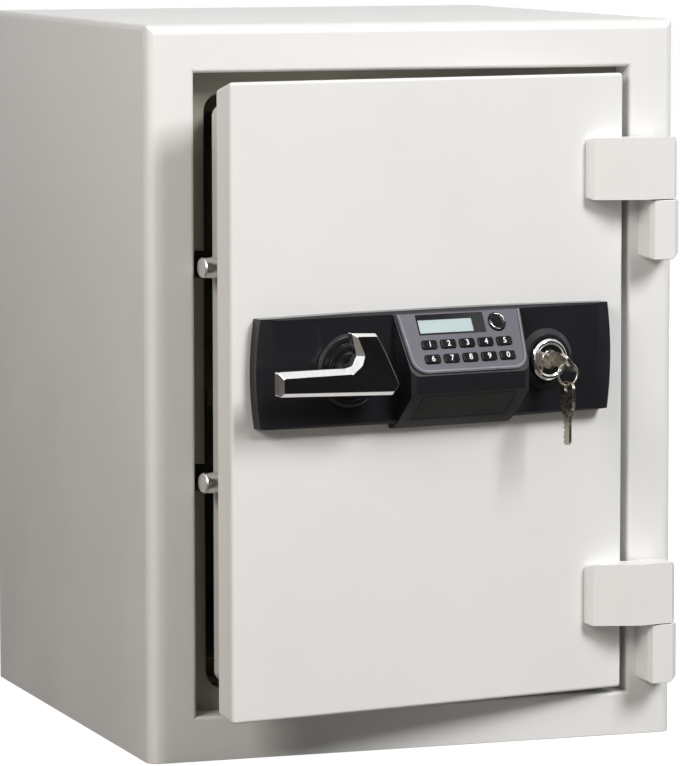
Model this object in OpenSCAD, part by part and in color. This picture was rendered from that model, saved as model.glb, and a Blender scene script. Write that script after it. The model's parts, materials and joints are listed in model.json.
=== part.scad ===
// Fire-resistant electronic safe, standing on the floor with its door ajar.
// X runs to the right, Y from the front to the back and Z up. The origin is the middle of the base.
// Sizes in the pieces count Y from the front face, and door pieces are drawn with the door shut.

/* [Cabinet] */
// Width over the steel casing
cab_w = 400; // [380:1:440]
// Height over the steel casing
cab_h = 522; // [505:1:560]
// Depth over the steel casing
cab_d = 400; // [380:1:460]
// Rounding of the front edges of the casing
front_r = 8; // [5:0.5:12]
// Rounding of the long top edges of the casing
top_r = 5; // [1:0.5:8]
// Thickness of the casing's sheet
sheet_t = 2; // [1.2:0.1:3]
// Thickness of the wall behind the inside
back_wall = 49; // [40:1:60]
// How far the inside's walls stand in from the jamb
room_rim = 3; // [2:0.5:6]
// How far the inside's floor and ceiling stand in from the jamb
room_sill = 11.5; // [8:0.5:16]
// Corner rounding of the inside
room_r = 10; // [6:1:14]
// Wall of the liner
liner_t = 1.5; // [1:0.1:2.5]

/* [Doorway] */
// Width of the front frame beside the doorway
frame_side = 35.5; // [33:0.5:40]
// Height of the front frame over the doorway
frame_head = 34; // [30:1:40]
// Height of the doorway's sill over the floor
way_z = 32; // [28:1:36]
// Rolled edge round the doorway
lip_r = 3; // [2:0.25:4]
// Depth of the doorway's folded flange
flange_d = 25; // [24:0.5:28]
// How far the first step of the jamb stands in from the flange
step_in_1 = 15; // [12:0.5:17]
// How far the second step stands in from the first
step_in_2 = 4; // [3:0.5:6]
// Depth of the first step
step_d_1 = 20; // [16:1:22]
// Depth of the jamb behind the flange
jamb_d = 45; // [44:1:50]
// Thickness of the jamb round the flange
jamb_rim = 7.5; // [6:0.5:9]

/* [Shelf] */
// Height of the shelf's top over the floor of the inside
shelf_rise = 195.5; // [140:0.5:260]
// Thickness of the shelf's sheet
shelf_t = 1.5; // [1:0.1:2.5]
// How far the shelf's front stands behind the jamb
shelf_front = 15; // [5:1:60]
// Height of the folded lip at the shelf's front
shelf_lip = 14; // [8:1:20]
// Radius of the shelf's pegs
peg_r = 4; // [3:0.5:5]

/* [Door] */
// How far the door stands open
ajar = 10; // [6:0.5:20]
// Gap between the door's sides and the doorway
side_gap = 4; // [3.5:0.5:5]
// Gap over and under the door
end_gap = 3.5; // [2.5:0.5:5]
// Thickness of the door's slab
slab_t = 20; // [18:0.5:21]
// Rounding of the slab's front edges
slab_r = 3; // [2:0.25:4]
// Sheet of the door's pan
pan_t = 2; // [1.5:0.1:3]
// Gap between the plug's sides and the jamb
plug_side = 6.5; // [5:0.5:9]
// Gap over and under the plug
plug_over = 4; // [3:0.5:6]
// Depth of the plug behind the slab
plug_d = 48; // [46:0.5:49]
// Sheet of the plug
plug_t = 1.5; // [1:0.1:2]
// Width of the plug's screw flange
plug_flange = 6; // [4:0.5:7]
// Width of the seal strip
seal_w = 7; // [5:0.5:8]

/* [Hinges] */
// How far the hinges stand out of the front
hinge_out = 24; // [22:0.5:26]
// Width of the fixed knuckles
knuckle_w = 24; // [20:0.5:26]
// Height of the fixed knuckles
knuckle_h = 43; // [36:1:50]
// Height of the leaves on the door
leaf_h = 44.5; // [36:0.5:50]
// Length of a leaf from its free end to the pin
leaf_l = 55.5; // [50:0.5:64]
// How far the upper leaf's top lies under the door's top
leaf_drop = 46.7; // [30:0.1:60]
// How far the lower leaf's underside lies over the door's foot
leaf_rise = 48.8; // [35:0.1:60]
// Gap between a leaf and its knuckle
leaf_gap = 0.8; // [0.4:0.1:1.5]
// Radius of the hinge pins
pin_r = 5; // [4:0.25:6]
// Running clearance of the pins in the leaves
pin_clear = 0.06; // [0.03:0.01:0.1]

/* [Lock panel] */
// Height of the lock panel's middle over the door's middle
lock_rise = 21.5; // [10:0.5:32]
// Gap between the panel's left end and the door's side
panel_left = 14.5; // [10:0.5:20]
// Gap between the panel's right end and the door's side
panel_right = 16.5; // [12:0.5:22]
// Height of the panel at its middle
panel_h = 80; // [70:1:86]
// Bow of the panel's ends
panel_bow = 3.5; // [2:0.25:6]
// Bow of the panel's long edges
panel_crown = 1.6; // [0.8:0.1:3]
// How far the panel stands out of the door
panel_out = 13; // [11:0.5:15]
// Wall of the panel's moulding
panel_t = 2.5; // [2:0.1:3]
// Middle of the keypad console along the panel
console_x = 13; // [8:0.5:18]
// Width of the console's face at its top
console_w = 104; // [100:0.5:108]
// How much narrower the console's face is at its foot
console_taper = 8; // [4:0.5:12]
// How far the console's chin stands out of the door
console_out = 34.5; // [31:0.5:36]
// Height of the console's upright chin
chin_h = 12.5; // [8:0.5:16]
// How far the console reaches below the panel
console_drop = 4; // [2:0.5:6]
// How far the foot of the console's face lies under the panel's middle
face_low = 4.9; // [0:0.1:8]
// Rounding of the console's upright edges
console_r = 10; // [6:0.5:12]

/* [Keypad] */
// Thickness of the keypad's bezel
bezel_t = 2.5; // [2:0.1:3.5]
// Corner rounding of the bezel's foot
bezel_r = 12; // [8:0.5:14]
// Length of a key
key_l = 12; // [10:0.25:13]
// Width of a key
key_b = 6.6; // [6:0.1:7.5]
// Spacing of the keys along a row
key_pitch = 15.3; // [14.5:0.1:16]
// Spacing of the two rows of keys
row_pitch = 10.9; // [10:0.1:12]
// Height of the lower row over the face's foot
row_v = 11.7; // [9:0.1:12]
// Clearance round each key
key_gap = 0.25; // [0.15:0.05:0.4]
// Radius of the round button
button_r = 7; // [6:0.1:7.5]

/* [Handle] */
// Gap between the handle's collar and the console
collar_gap = 9; // [6:0.5:14]
// Radius of the spindle
spindle_r = 5; // [4:0.25:6]
// Running clearance of the spindle in its bush
spindle_clear = 0.06; // [0.03:0.01:0.1]
// Room for fingers between the panel and the lever
grip_gap = 22; // [20:0.5:26]
// Thickness of the lever
lever_t = 10; // [8:0.5:12]
// Length of the lever from its spindle to its tip
lever_l = 71; // [60:1:76]
// Radius of the handle's hub
hub_r = 9; // [7.5:0.5:10]
// Radius of the stepped collar under the handle
collar_r = 26; // [22:0.5:28]

/* [Bolts] */
// Radius of the locking bolts
bolt_r = 7.5; // [6:0.25:8.5]
// Depth of the bolts' middle behind the door's front
bolt_y = 52.3; // [48:0.1:54]
// Height of the upper bolt over the door's middle
bolt_up = 92; // [80:1:110]
// How far the lower bolt lies under the door's middle
bolt_down = 60; // [45:1:75]
// How far the drawn-back bolts stay inside the door's side
bolt_in = 4.5; // [3.5:0.5:10]
// Radius on which the cam's crank pin turns
crank_r = 16; // [14:0.5:17]
// Turn of the handle from open to locked
throw_turn = 70; // [60:1:80]
// Running clearance of the bolts in their guides
bolt_clear = 0.07; // [0.03:0.01:0.1]

/* [Key lock] */
// Gap between the key lock's face and the console
lock_gap = 7; // [5:0.5:14]
// Radius of the lock's round face
face_r = 15; // [13:0.5:17]
// Radius of the lock's barrel behind its face
barrel_r = 11; // [9:0.5:12]
// Radius of the turning plug
plug_r = 6.5; // [5.5:0.25:7.5]
// Running clearance of the plug
plug_clear = 0.05; // [0.03:0.01:0.1]
// Slant of the key's slot from level
slot_turn = 50; // [30:1:60]
// Thickness of a key
blade_t = 2.2; // [1.8:0.1:2.6]
// Width of a key's blade
blade_w = 7.6; // [6:0.1:8.5]
// Width of a key's bow
bow_w = 17; // [15:0.5:19]
// Length of a key's bow
bow_l = 23; // [20:0.5:26]
// Radius of the key ring
ring_r = 8; // [7.5:0.25:9]
// Radius of the ring's wire
wire_r = 0.7; // [0.5:0.05:0.9]

/* [Hidden] */
$fn = 64;
eps = 0.01;

paint = [0.92, 0.92, 0.91];
fill_grey = [0.72, 0.70, 0.66];
liner_grey = [0.80, 0.80, 0.77];
black_plastic = [0.07, 0.07, 0.08];
gunmetal = [0.40, 0.40, 0.44];
chrome = [0.82, 0.82, 0.84];
steel = [0.62, 0.63, 0.65];

// Middle of the doorway and of the door, and the door's size
way_w = cab_w - 2*frame_side;
way_h = cab_h - frame_head - way_z;
way_mid = way_z + way_h/2;
door_w = way_w - 2*side_gap;
door_h = way_h - 2*end_gap;
door_foot = way_z + end_gap;
// The jamb's rear face, where the liner starts
jamb_y0 = flange_d;
jamb_y1 = flange_d + jamb_d;
jamb_w = way_w + 2*jamb_rim;
jamb_h = way_h + 2*jamb_rim;
step_w_1 = way_w - 2*step_in_1;
step_h_1 = way_h - 2*step_in_1;
step_w_2 = step_w_1 - 2*step_in_2;
step_h_2 = step_h_1 - 2*step_in_2;
room_w = step_w_2 - 2*room_rim;
room_h = step_h_2 - 2*room_sill;
room_y1 = cab_d - back_wall;
shelf_z = way_mid - room_h/2 + shelf_rise;
shelf_play = 4;
shelf_d = room_y1 - shelf_play - jamb_y1 - shelf_front;
peg_front = 60;
peg_rear = 50;

// The hinge axis lies in the middle of the knuckles, which stand on the frame
knuckle_inset = 4;
hinge_x = cab_w/2 - knuckle_inset - knuckle_w/2;
hinge_y = -hinge_out/2;
leaf_right = hinge_out/2 - 1.2;
door_edge = hinge_x - door_w/2;
leaf_z_up = door_foot + door_h - leaf_drop - leaf_h;
leaf_z_low = door_foot + leaf_rise;
frame_clear = 1.2;
pin_depth = 30;
pin_rise = 36;

// The plug fits in the jamb's last step
plug_w = step_w_2 - 2*plug_side;
plug_h = step_h_2 - 2*plug_over;
plug_y1 = slab_t + plug_d;
plug_inner_y1 = plug_y1 - plug_t;
plug_seat_y = slab_t + plug_t;
seal_gap = 0.4;
seal_t = flange_d - slab_t - seal_gap;

// The console's slanted face runs from the panel's top edge down to the chin
lock_z = way_mid + lock_rise;
panel_w = door_w - panel_left - panel_right;
panel_x = (panel_left - panel_right)/2;
face_top_z = panel_h/2 - 2;
face_foot_z = -face_low;
face_top_y = -panel_out;
face_foot_y = -console_out;
face_lean = atan((face_top_y - face_foot_y)/(face_top_z - face_foot_z));
face_l = norm([face_top_y - face_foot_y, face_top_z - face_foot_z]);
console_foot = -panel_h/2 - console_drop;
bezel_w = console_w - 3;
bezel_sink = 1;
bezel_fit = 0.15;
bezel_v0 = 1.5;
bezel_v1 = face_l - 1.5;
// Its lower slope ends on the panel's face, over a skirt that closes it against the door
hood_y = -panel_out;
hood_z = 1 - panel_h/2;
skirt_y = -5;

// Display and keys on the console's face, from its middle and its foot
display_u = -8.3;
display_v = 37.8;
display_l = 55;
display_b = 15.4;
screen_l = 43.9;
screen_b = 10;
screen_u = display_u - 4.3;
screen_v = display_v - 1.3;
cell_r = 7.1;
cell_l = 50;
holder_y = -4;
button_u = 29.5;
button_v = 37.4;
keys_u = 0.9;
key_rise = 1.4;
board_w = 89;
board_l = 44;
board_t = 1.6;
board_drop = 4;
seat_w = 84;
seat_l = 41.6;
board_v = face_l/2 + 1;

// Spindle and key lock stand on either side of the console
spindle_x = console_x - console_w/2 - collar_gap - collar_r;
keylock_x = console_x + console_w/2 + lock_gap + face_r;

// The bolts move by the cam's crank pin, which swings evenly about its top
crank_half = throw_turn/2;
crank_pin_r = 3;
cam_y0 = 60;
cam_t = 4;
cam_r = 22;
cam_notch = 5;
bar_t = 5;
bar_x0 = -plug_w/2 + 38;
bolt_z_up = way_mid + bolt_up;
bolt_z_low = way_mid - bolt_down;
bolt_tip_x = door_w/2 - bolt_in;
bar_w = 13;
arm_z = crank_r*cos(crank_half) + lock_z;
sol_pin_r = 2.5;
sol_clear = 0.06;
sol_h = 30;
ctrl_w = 70;
ctrl_h = 60;
ctrl_t = 14;
ctrl_low = 35;

// The handle's planes, counted out of the door
lever_back = panel_out + grip_gap;

// The key lock
face_out = panel_out + 7;
plug_back = 32;
barrel_back = 30;
bow_out = face_out + 4;
hole_out = bow_out + 19;
bow_hole_r = 3;
bow_drop = 4.6;
blade_l = 27;
ring_sag = 0.3;

// Upper room of the strike plate and the pockets beside it
strike_x = -way_w/2 - 2;
strike_t = 4;
pocket_r = bolt_r + 2;

// Places a piece counted from the front face in the part's own frame
module from_front() {
    translate([0, -cab_d/2, 0]) children();
}

// Places a piece of the shut door on the door as it stands ajar
module on_door() {
    from_front()
        translate([hinge_x, hinge_y, 0])
            rotate([0, 0, ajar])
                translate([-hinge_x, -hinge_y, 0])
                    children();
}

// Extrudes an X-Z outline from y0 to y1
module along_y(y0, y1) {
    translate([0, y1, 0]) rotate([90, 0, 0]) linear_extrude(height = y1 - y0) children();
}

// Extrudes a Y-Z outline from x0 to x1
module along_x(x0, x1) {
    translate([x0, 0, 0]) rotate([90, 0, 90]) linear_extrude(height = x1 - x0) children();
}

// Extrudes an X-Y outline from z0 to z1
module along_z(z0, z1) {
    translate([0, 0, z0]) linear_extrude(height = z1 - z0) children();
}

// Turns a piece so that its own Z points out of the door at a place on the lock panel
module facing_out(x, out = 0) {
    translate([x, -out, lock_z]) rotate([90, 0, 0]) children();
}

// Turns a piece so that its own Z points out of the console's slanted face
module on_face(u = 0, v = 0) {
    translate([console_x, face_foot_y, lock_z + face_foot_z])
        rotate([90 - face_lean, 0, 0])
            translate([u, v, 0])
                children();
}

// A rectangle with round corners, about its middle
module rounded(w, h, r) {
    square([w - 2*r, h], center = true);
    square([w, h - 2*r], center = true);
    for (x = [-1, 1], y = [-1, 1])
        translate([x*(w/2 - r), y*(h/2 - r)]) circle(r = r);
}

// A slab whose front edges and corners are rounded by r, its front on y = 0
module round_fronted(w, h, t, r) {
    along_y(r, t) rounded(w, h, r);
    along_y(0, r) square([w - 2*r, h - 2*r], center = true);
    for (s = [-1, 1]) {
        translate([s*(w/2 - r), r, -h/2 + r]) cylinder(r = r, h = h - 2*r);
        translate([-w/2 + r, r, s*(h/2 - r)]) rotate([0, 90, 0]) cylinder(r = r, h = w - 2*r);
        for (k = [-1, 1])
            translate([s*(w/2 - r), r, k*(h/2 - r)]) sphere(r = r);
    }
}

// The keypad bezel's outline, drawn in by an inset: sides that lean in to round lower corners
module bezel_outline(inset = 0, top = bezel_v1 - bezel_v0) {
    h = bezel_v1 - bezel_v0;
    lean = atan(console_taper/2/h);
    corner_x = (bezel_w - console_taper)/2 + bezel_r*tan(lean) - bezel_r/cos(lean);
    r = bezel_r - inset;
    side_x = corner_x + r*cos(lean);
    side_y = bezel_r - r*sin(lean);
    top_x = side_x + (top - side_y)*tan(lean);
    translate([0, bezel_v0]) {
        polygon([[-corner_x, inset], [corner_x, inset], [side_x, side_y], [top_x, top],
                 [-top_x, top], [-side_x, side_y]]);
        for (s = [-1, 1])
            translate([s*corner_x, bezel_r]) circle(r = r);
    }
}

// The casing's form, set in by a sheet's thickness or not: round front edges, sharp back and foot
module cabinet_block(inset, deep) {
    r = front_r - inset;
    side_r = top_r - inset;
    half = cab_w/2 - inset;
    top = cab_h - inset;
    intersection() {
        along_z(inset, top) {
            translate([-half, front_r]) square([2*half, deep - front_r]);
            translate([-half + r, inset]) square([2*half - 2*r, front_r + 1]);
            for (s = [-1, 1])
                translate([s*(half - r), front_r]) circle(r = r);
        }
        along_x(-half, half) {
            translate([inset, inset]) square([deep - inset, top - r - inset]);
            translate([front_r, inset]) square([deep - front_r, top - inset]);
            translate([front_r, top - r]) circle(r = r);
        }
        along_y(inset, deep) {
            translate([-half, inset]) square([2*half, top - side_r - inset]);
            translate([-half + side_r, inset]) square([2*half - 2*side_r, top - inset]);
            for (s = [-1, 1])
                translate([s*(half - side_r), top - side_r]) circle(r = side_r);
        }
    }
}

module way_outline(w, h, r = 0) {
    translate([0, way_mid])
        if (r > 0) rounded(w, h, r);
        else square([w, h], center = true);
}

// Mouth of the doorway: its straight way, and a round lip where it meets the front face
module way_mouth(half, deep) {
    translate([-half, lip_r]) square([2*half, deep]);
    difference() {
        translate([-half - lip_r, -1]) square([2*half + 2*lip_r, lip_r + 1]);
        for (s = [-1, 1])
            translate([s*(half + lip_r), lip_r]) circle(r = lip_r);
    }
}

// Steel casing with the front frame, its rolled doorway edge and the folded flange
module outer_shell() {
    color(paint) from_front() difference() {
        union() {
            difference() {
                cabinet_block(0, cab_d);
                cabinet_block(sheet_t, cab_d + 1);
            }
            along_y(sheet_t/2, flange_d) way_outline(way_w + 2*sheet_t, way_h + 2*sheet_t);
        }
        intersection() {
            along_z(0, cab_h) way_mouth(way_w/2, cab_d);
            along_x(-cab_w/2, cab_w/2)
                translate([0, way_mid]) rotate(-90) way_mouth(way_h/2, cab_d);
        }
    }
}

module back_panel() {
    color(paint) from_front()
        intersection() {
            cabinet_block(sheet_t, cab_d);
            translate([-cab_w/2, cab_d - sheet_t, 0]) cube([cab_w, sheet_t, cab_h]);
        }
}

// Poured fill between the casing, the jamb and the liner
module cabinet_insulation() {
    color(fill_grey) from_front() difference() {
        cabinet_block(sheet_t, cab_d - sheet_t);
        along_y(0, flange_d) way_outline(way_w + 2*sheet_t, way_h + 2*sheet_t);
        along_y(jamb_y0 - eps, jamb_y1) way_outline(jamb_w, jamb_h);
        along_y(jamb_y1 - eps, room_y1 + liner_t)
            way_outline(room_w + 2*liner_t, room_h + 2*liner_t, room_r + liner_t);
        bolt_pockets(-jamb_w/2 - 6, -jamb_w/2 + 1);
    }
}

// Round pockets that take the tips of the thrown bolts
module bolt_pockets(x0, x1) {
    for (z = [bolt_z_up, bolt_z_low])
        translate([x0, bolt_y, z]) rotate([0, 90, 0]) cylinder(r = pocket_r, h = x1 - x0);
}

// Stepped frame round the plug, with open ways for the bolt tips and the dead bars
module door_jamb() {
    color(liner_grey) from_front() difference() {
        along_y(jamb_y0, jamb_y1) way_outline(jamb_w, jamb_h);
        along_y(jamb_y0 - 1, jamb_y0 + step_d_1) way_outline(step_w_1, step_h_1, 14);
        along_y(jamb_y0, jamb_y1 + 1) way_outline(step_w_2, step_h_2, 12);
        for (z = [bolt_z_up, bolt_z_low])
            translate([strike_x, jamb_y0 - 1, z - pocket_r])
                cube([way_w/2, bolt_y + pocket_r - jamb_y0 + 1, 2*pocket_r]);
        translate([strike_x - strike_t, jamb_y0 + 2, bolt_z_low - 20])
            cube([strike_t, jamb_d - 4, bolt_z_up - bolt_z_low + 40]);
        bolt_pockets(-jamb_w/2 - 1, strike_x);
        for (z = [bolt_z_up, bolt_z_low])
            translate([step_w_2/2 - 1, bolt_y - pocket_r - 2, z - pocket_r])
                cube([8, 2*pocket_r + 4, 2*pocket_r]);
    }
}

// Steel plate let into the jamb, with a hole for each bolt
module strike_plate() {
    color(steel) from_front() difference() {
        translate([strike_x - strike_t, jamb_y0 + 2, bolt_z_low - 20])
            cube([strike_t, jamb_d - 4, bolt_z_up - bolt_z_low + 40]);
        for (z = [bolt_z_up, bolt_z_low])
            translate([strike_x - strike_t - 1, bolt_y, z])
                rotate([0, 90, 0]) cylinder(r = bolt_r + 0.8, h = strike_t + 2);
    }
}

// Liner of the inside, closed at its back
module inner_liner() {
    color(liner_grey) from_front() difference() {
        along_y(jamb_y1, room_y1 + liner_t)
            way_outline(room_w + 2*liner_t, room_h + 2*liner_t, room_r + liner_t);
        along_y(jamb_y1 - 1, room_y1) way_outline(room_w, room_h, room_r);
    }
}

// Shelf of folded sheet with a lip at its front
module shelf() {
    shelf_w = room_w - shelf_play;
    shelf_y0 = jamb_y1 + shelf_front;
    color(liner_grey) from_front() {
        translate([-shelf_w/2, shelf_y0, shelf_z - shelf_t]) cube([shelf_w, shelf_d, shelf_t]);
        translate([-shelf_w/2 + 12, shelf_y0, shelf_z - shelf_lip])
            cube([shelf_w - 24, shelf_t, shelf_lip]);
    }
}

// Four pegs in the liner's walls that carry the shelf
module shelf_pegs() {
    peg_l = 9;
    color(steel) from_front()
        for (s = [-1, 1], y = [jamb_y1 + peg_front, room_y1 - peg_rear])
            translate([s*(room_w/2 - peg_l/2), y, shelf_z - shelf_t - peg_r])
                rotate([0, 90, 0]) cylinder(r = peg_r, h = peg_l, center = true);
}

// Fixed knuckle: chamfered plan, its foot cut off at the corners
module hinge_knuckle(leaf_z) {
    top = leaf_z - leaf_gap;
    w = knuckle_w/2;
    color(paint) from_front() difference() {
        intersection() {
            along_z(top - knuckle_h, top)
                translate([hinge_x, 0])
                    polygon([[-w, 0], [-w + 0.6, -hinge_out + 3.5], [-w + 3.5, -hinge_out],
                             [w - 5, -hinge_out], [w, -hinge_out + 5.5], [w, 0]]);
            along_y(-hinge_out - 1, 1)
                translate([hinge_x, top])
                    polygon([[-w - 1, 0], [-w - 1, -knuckle_h + 3], [-w + 3, -knuckle_h],
                             [w - 7, -knuckle_h], [w + 1, -knuckle_h + 4.5], [w + 1, 0]]);
        }
        translate([hinge_x, hinge_y, top - pin_depth]) cylinder(r = pin_r, h = pin_depth + 1);
    }
}

module hinge_pin(leaf_z) {
    color(steel) from_front()
        translate([hinge_x, hinge_y, leaf_z - leaf_gap - pin_depth])
            cylinder(r = pin_r, h = pin_depth + leaf_gap + pin_rise);
}

// Leaf on the door: a strap that rises to the knuckle's height and turns round the pin
module hinge_leaf(leaf_z) {
    out = hinge_out;
    r = leaf_right;
    color(paint) on_door() difference() {
        union() {
            intersection() {
                along_z(leaf_z, leaf_z + leaf_h)
                    translate([hinge_x, 0])
                        polygon([[-leaf_l, 0], [-leaf_l, -5.5], [-leaf_l + 2.5, -8.5],
                                 [-leaf_l + 28, -out + 2.2], [-leaf_l + 34, -out],
                                 [5, -out], [r, -out + 6.5], [r, hinge_y],
                                 [0, -frame_clear], [1 - door_edge, -frame_clear], [-1 - door_edge, 0]]);
                along_y(-out - 1, 1)
                    translate([hinge_x + (r - leaf_l)/2, leaf_z + leaf_h/2])
                        rounded(leaf_l + r, leaf_h, 2.5);
                along_y(-out - 1, 1)
                    translate([hinge_x, leaf_z])
                        polygon([[-leaf_l - 1, -1], [r + 1, -1], [r + 1, leaf_h - 6],
                                 [r - 5, leaf_h + 1], [-leaf_l - 1, leaf_h + 1]]);
            }
            translate([hinge_x, hinge_y, leaf_z]) cylinder(r = r, h = leaf_h - 6);
        }
        translate([hinge_x, hinge_y, leaf_z - 1])
            cylinder(r = pin_r + pin_clear, h = pin_rise + 1.5);
    }
}

// Holes through the door for the handle, the key lock and the cable
module door_holes(y0, y1) {
    translate([0, 0, lock_z]) along_y(y0, y1) {
        translate([spindle_x, 0]) circle(r = spindle_r + 3);
        translate([keylock_x, 0]) circle(r = barrel_r);
        translate([console_x, 0]) circle(r = 4);
    }
}

// Folded pan of the door's front
module door_skin() {
    color(paint) on_door() difference() {
        translate([0, 0, way_mid]) round_fronted(door_w, door_h, slab_t, slab_r);
        along_y(pan_t, slab_t + 1) way_outline(door_w - 2*pan_t, door_h - 2*pan_t);
        door_holes(-1, pan_t + 1);
    }
}

// Insulating board in the pan
module door_backing() {
    color(fill_grey) on_door() difference() {
        along_y(pan_t, slab_t) way_outline(door_w - 2*pan_t, door_h - 2*pan_t);
        door_holes(0, slab_t + 1);
    }
}

// Pressed cover of the door's plug with its screw flange
module door_inner_panel() {
    color(liner_grey) on_door() difference() {
        union() {
            along_y(slab_t, plug_y1) way_outline(plug_w, plug_h, 8);
            along_y(slab_t, plug_seat_y)
                way_outline(plug_w + 2*plug_flange, plug_h + 2*plug_flange, 8 + plug_flange);
        }
        along_y(slab_t - 1, plug_inner_y1) way_outline(plug_w - 2*plug_t, plug_h - 2*plug_t, 8 - plug_t);
        for (z = [bolt_z_up, bolt_z_low])
            translate([-plug_w/2 - 1, bolt_y, z])
                rotate([0, 90, 0]) cylinder(r = bolt_r + 0.5, h = plug_t + 2);
        for (z = [bolt_z_up, bolt_z_low])
            translate([plug_w/2 - plug_t - 1, bolt_y, z])
                rotate([0, 90, 0]) cylinder(r = bolt_r, h = plug_t + 2);
    }
}

// Fill over and under the lock's space in the plug
module door_insulation() {
    fill_w = plug_w - 2*plug_t;
    fill_h = (plug_h - 2*plug_t)/2 - 112;
    color(fill_grey) on_door()
        for (s = [-1, 1])
            along_y(slab_t, plug_inner_y1)
                translate([0, way_mid + s*(112 + fill_h/2)])
                    intersection() {
                        square([fill_w, fill_h], center = true);
                        translate([0, -s*(112 + fill_h/2)]) rounded(fill_w, plug_h - 2*plug_t, 8 - plug_t);
                    }
}

// Heat seal strip round the slab's back
module door_seal() {
    seal_in = plug_flange + 1;
    color(black_plastic) on_door() along_y(slab_t, slab_t + seal_t) difference() {
        way_outline(plug_w + 2*(seal_in + seal_w), plug_h + 2*(seal_in + seal_w), 8 + seal_in + seal_w);
        way_outline(plug_w + 2*seal_in, plug_h + 2*seal_in, 8 + seal_in);
    }
}

// Fixed studs on the hinge side that hook behind the jamb
module dead_bars() {
    bar_in = 22;
    bar_out = 11;
    color(chrome) on_door()
        for (z = [bolt_z_up, bolt_z_low])
            translate([plug_w/2 - bar_in, bolt_y, z])
                rotate([0, 90, 0]) cylinder(r = bolt_r, h = bar_in + bar_out);
}

// Blocks with true bores that guide the bolts inside the plug
module bolt_guides() {
    block = [16, 26, 30];
    color(steel) on_door()
        for (z = [bolt_z_up, bolt_z_low])
            difference() {
                translate([-plug_w/2 + plug_t, plug_inner_y1 - block[1], z - block[2]/2]) cube(block);
                translate([-plug_w/2, bolt_y, z])
                    rotate([0, 90, 0]) cylinder(r = bolt_r + bolt_clear, h = block[0] + 4);
            }
}

module locking_bolt(z) {
    bevel = 1;
    color(chrome) on_door()
        translate([-bolt_tip_x, bolt_y, z]) rotate([0, 90, 0])
            rotate_extrude()
                polygon([[0, 0], [bolt_r - bevel, 0], [bolt_r, bevel],
                         [bolt_r, bolt_tip_x + bar_x0], [0, bolt_tip_x + bar_x0]]);
}

// Upright bar that joins the bolts, with an arm slotted for the crank pin
module bolt_bar() {
    arm_x1 = spindle_x + crank_r*sin(crank_half) + 12;
    pin_x = spindle_x + crank_r*sin(crank_half);
    slot_r = crank_pin_r + 0.7;
    slot_low = 0.5;
    slot_high = crank_r*(1 - cos(crank_half)) + 0.5;
    color(steel) on_door() difference() {
        along_y(bolt_y - bar_t/2, bolt_y + bar_t/2) {
            translate([bar_x0, bolt_z_low - 10])
                square([bar_w, bolt_z_up - bolt_z_low + 20]);
            translate([bar_x0, arm_z - 6]) square([arm_x1 - bar_x0, 18]);
        }
        along_y(bolt_y - bar_t, bolt_y + bar_t)
            translate([pin_x, arm_z]) {
                translate([-slot_r, -slot_low]) square([2*slot_r, slot_low + slot_high]);
                translate([0, -slot_low]) circle(r = slot_r);
                translate([0, slot_high]) circle(r = slot_r);
            }
    }
}

// Keyed disc on the spindle's inner end, with the crank pin and the two blocking notches
module drive_cam() {
    color(steel) on_door() {
        along_y(cam_y0, cam_y0 + cam_t) translate([spindle_x, lock_z]) difference() {
            circle(r = cam_r);
            circle(r = spindle_r);
            for (turn = [0, -throw_turn])
                rotate(turn) translate([-3.2, -cam_r - 1]) square([6.4, cam_notch + 1]);
        }
        along_y(bolt_y - bar_t/2 - 1, cam_y0 + eps)
            translate([spindle_x + crank_r*sin(crank_half), arm_z]) circle(r = crank_pin_r);
    }
}

module spindle() {
    color(steel) on_door()
        facing_out(spindle_x, -cam_y0 - cam_t)
            cylinder(r = spindle_r, h = cam_y0 + cam_t + lever_back + 4);
}

// Flanged bush that carries the spindle in the door
module spindle_bush() {
    color(steel) on_door() facing_out(spindle_x, -slab_t) difference() {
        union() {
            cylinder(r = spindle_r + 3, h = slab_t);
            translate([0, 0, slab_t]) cylinder(r = spindle_r + 6, h = 2.5);
        }
        translate([0, 0, -1]) cylinder(r = spindle_r + spindle_clear, h = slab_t + 5);
    }
}

// Solenoid whose pin springs up into a notch of the cam
module solenoid() {
    sol = [24, 14, sol_h];
    color(gunmetal) on_door() difference() {
        translate([spindle_x - sol[0]/2, plug_inner_y1 - sol[1], lock_z - cam_r - 4 - sol[2]]) cube(sol);
        translate([spindle_x, cam_y0 + cam_t/2 - 1.2, lock_z - cam_r - sol[2]])
            cylinder(r = sol_pin_r + sol_clear, h = sol[2]);
    }
}

module solenoid_pin() {
    color(steel) on_door()
        translate([spindle_x, cam_y0 + cam_t/2 - 1.2, lock_z - cam_r - 4 - sol_h + 8])
            cylinder(r = sol_pin_r, h = sol_h - 5);
}

// Outline of the lock panel: four shallow arcs
module panel_outline(inset = 0) {
    half_w = panel_w/2 - inset;
    half_h = panel_h/2 - inset;
    end_r = (pow(half_h, 2) + pow(panel_bow, 2))/(2*panel_bow);
    long_r = (pow(half_w, 2) + pow(panel_crown, 2))/(2*panel_crown);
    translate([panel_x, 0]) intersection_for (s = [-1, 1]) {
        intersection() {
            translate([s*(half_w - end_r), 0]) circle(r = end_r, $fn = 360);
            translate([0, s*(half_h - long_r)]) circle(r = long_r, $fn = 3600);
        }
    }
}

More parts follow.
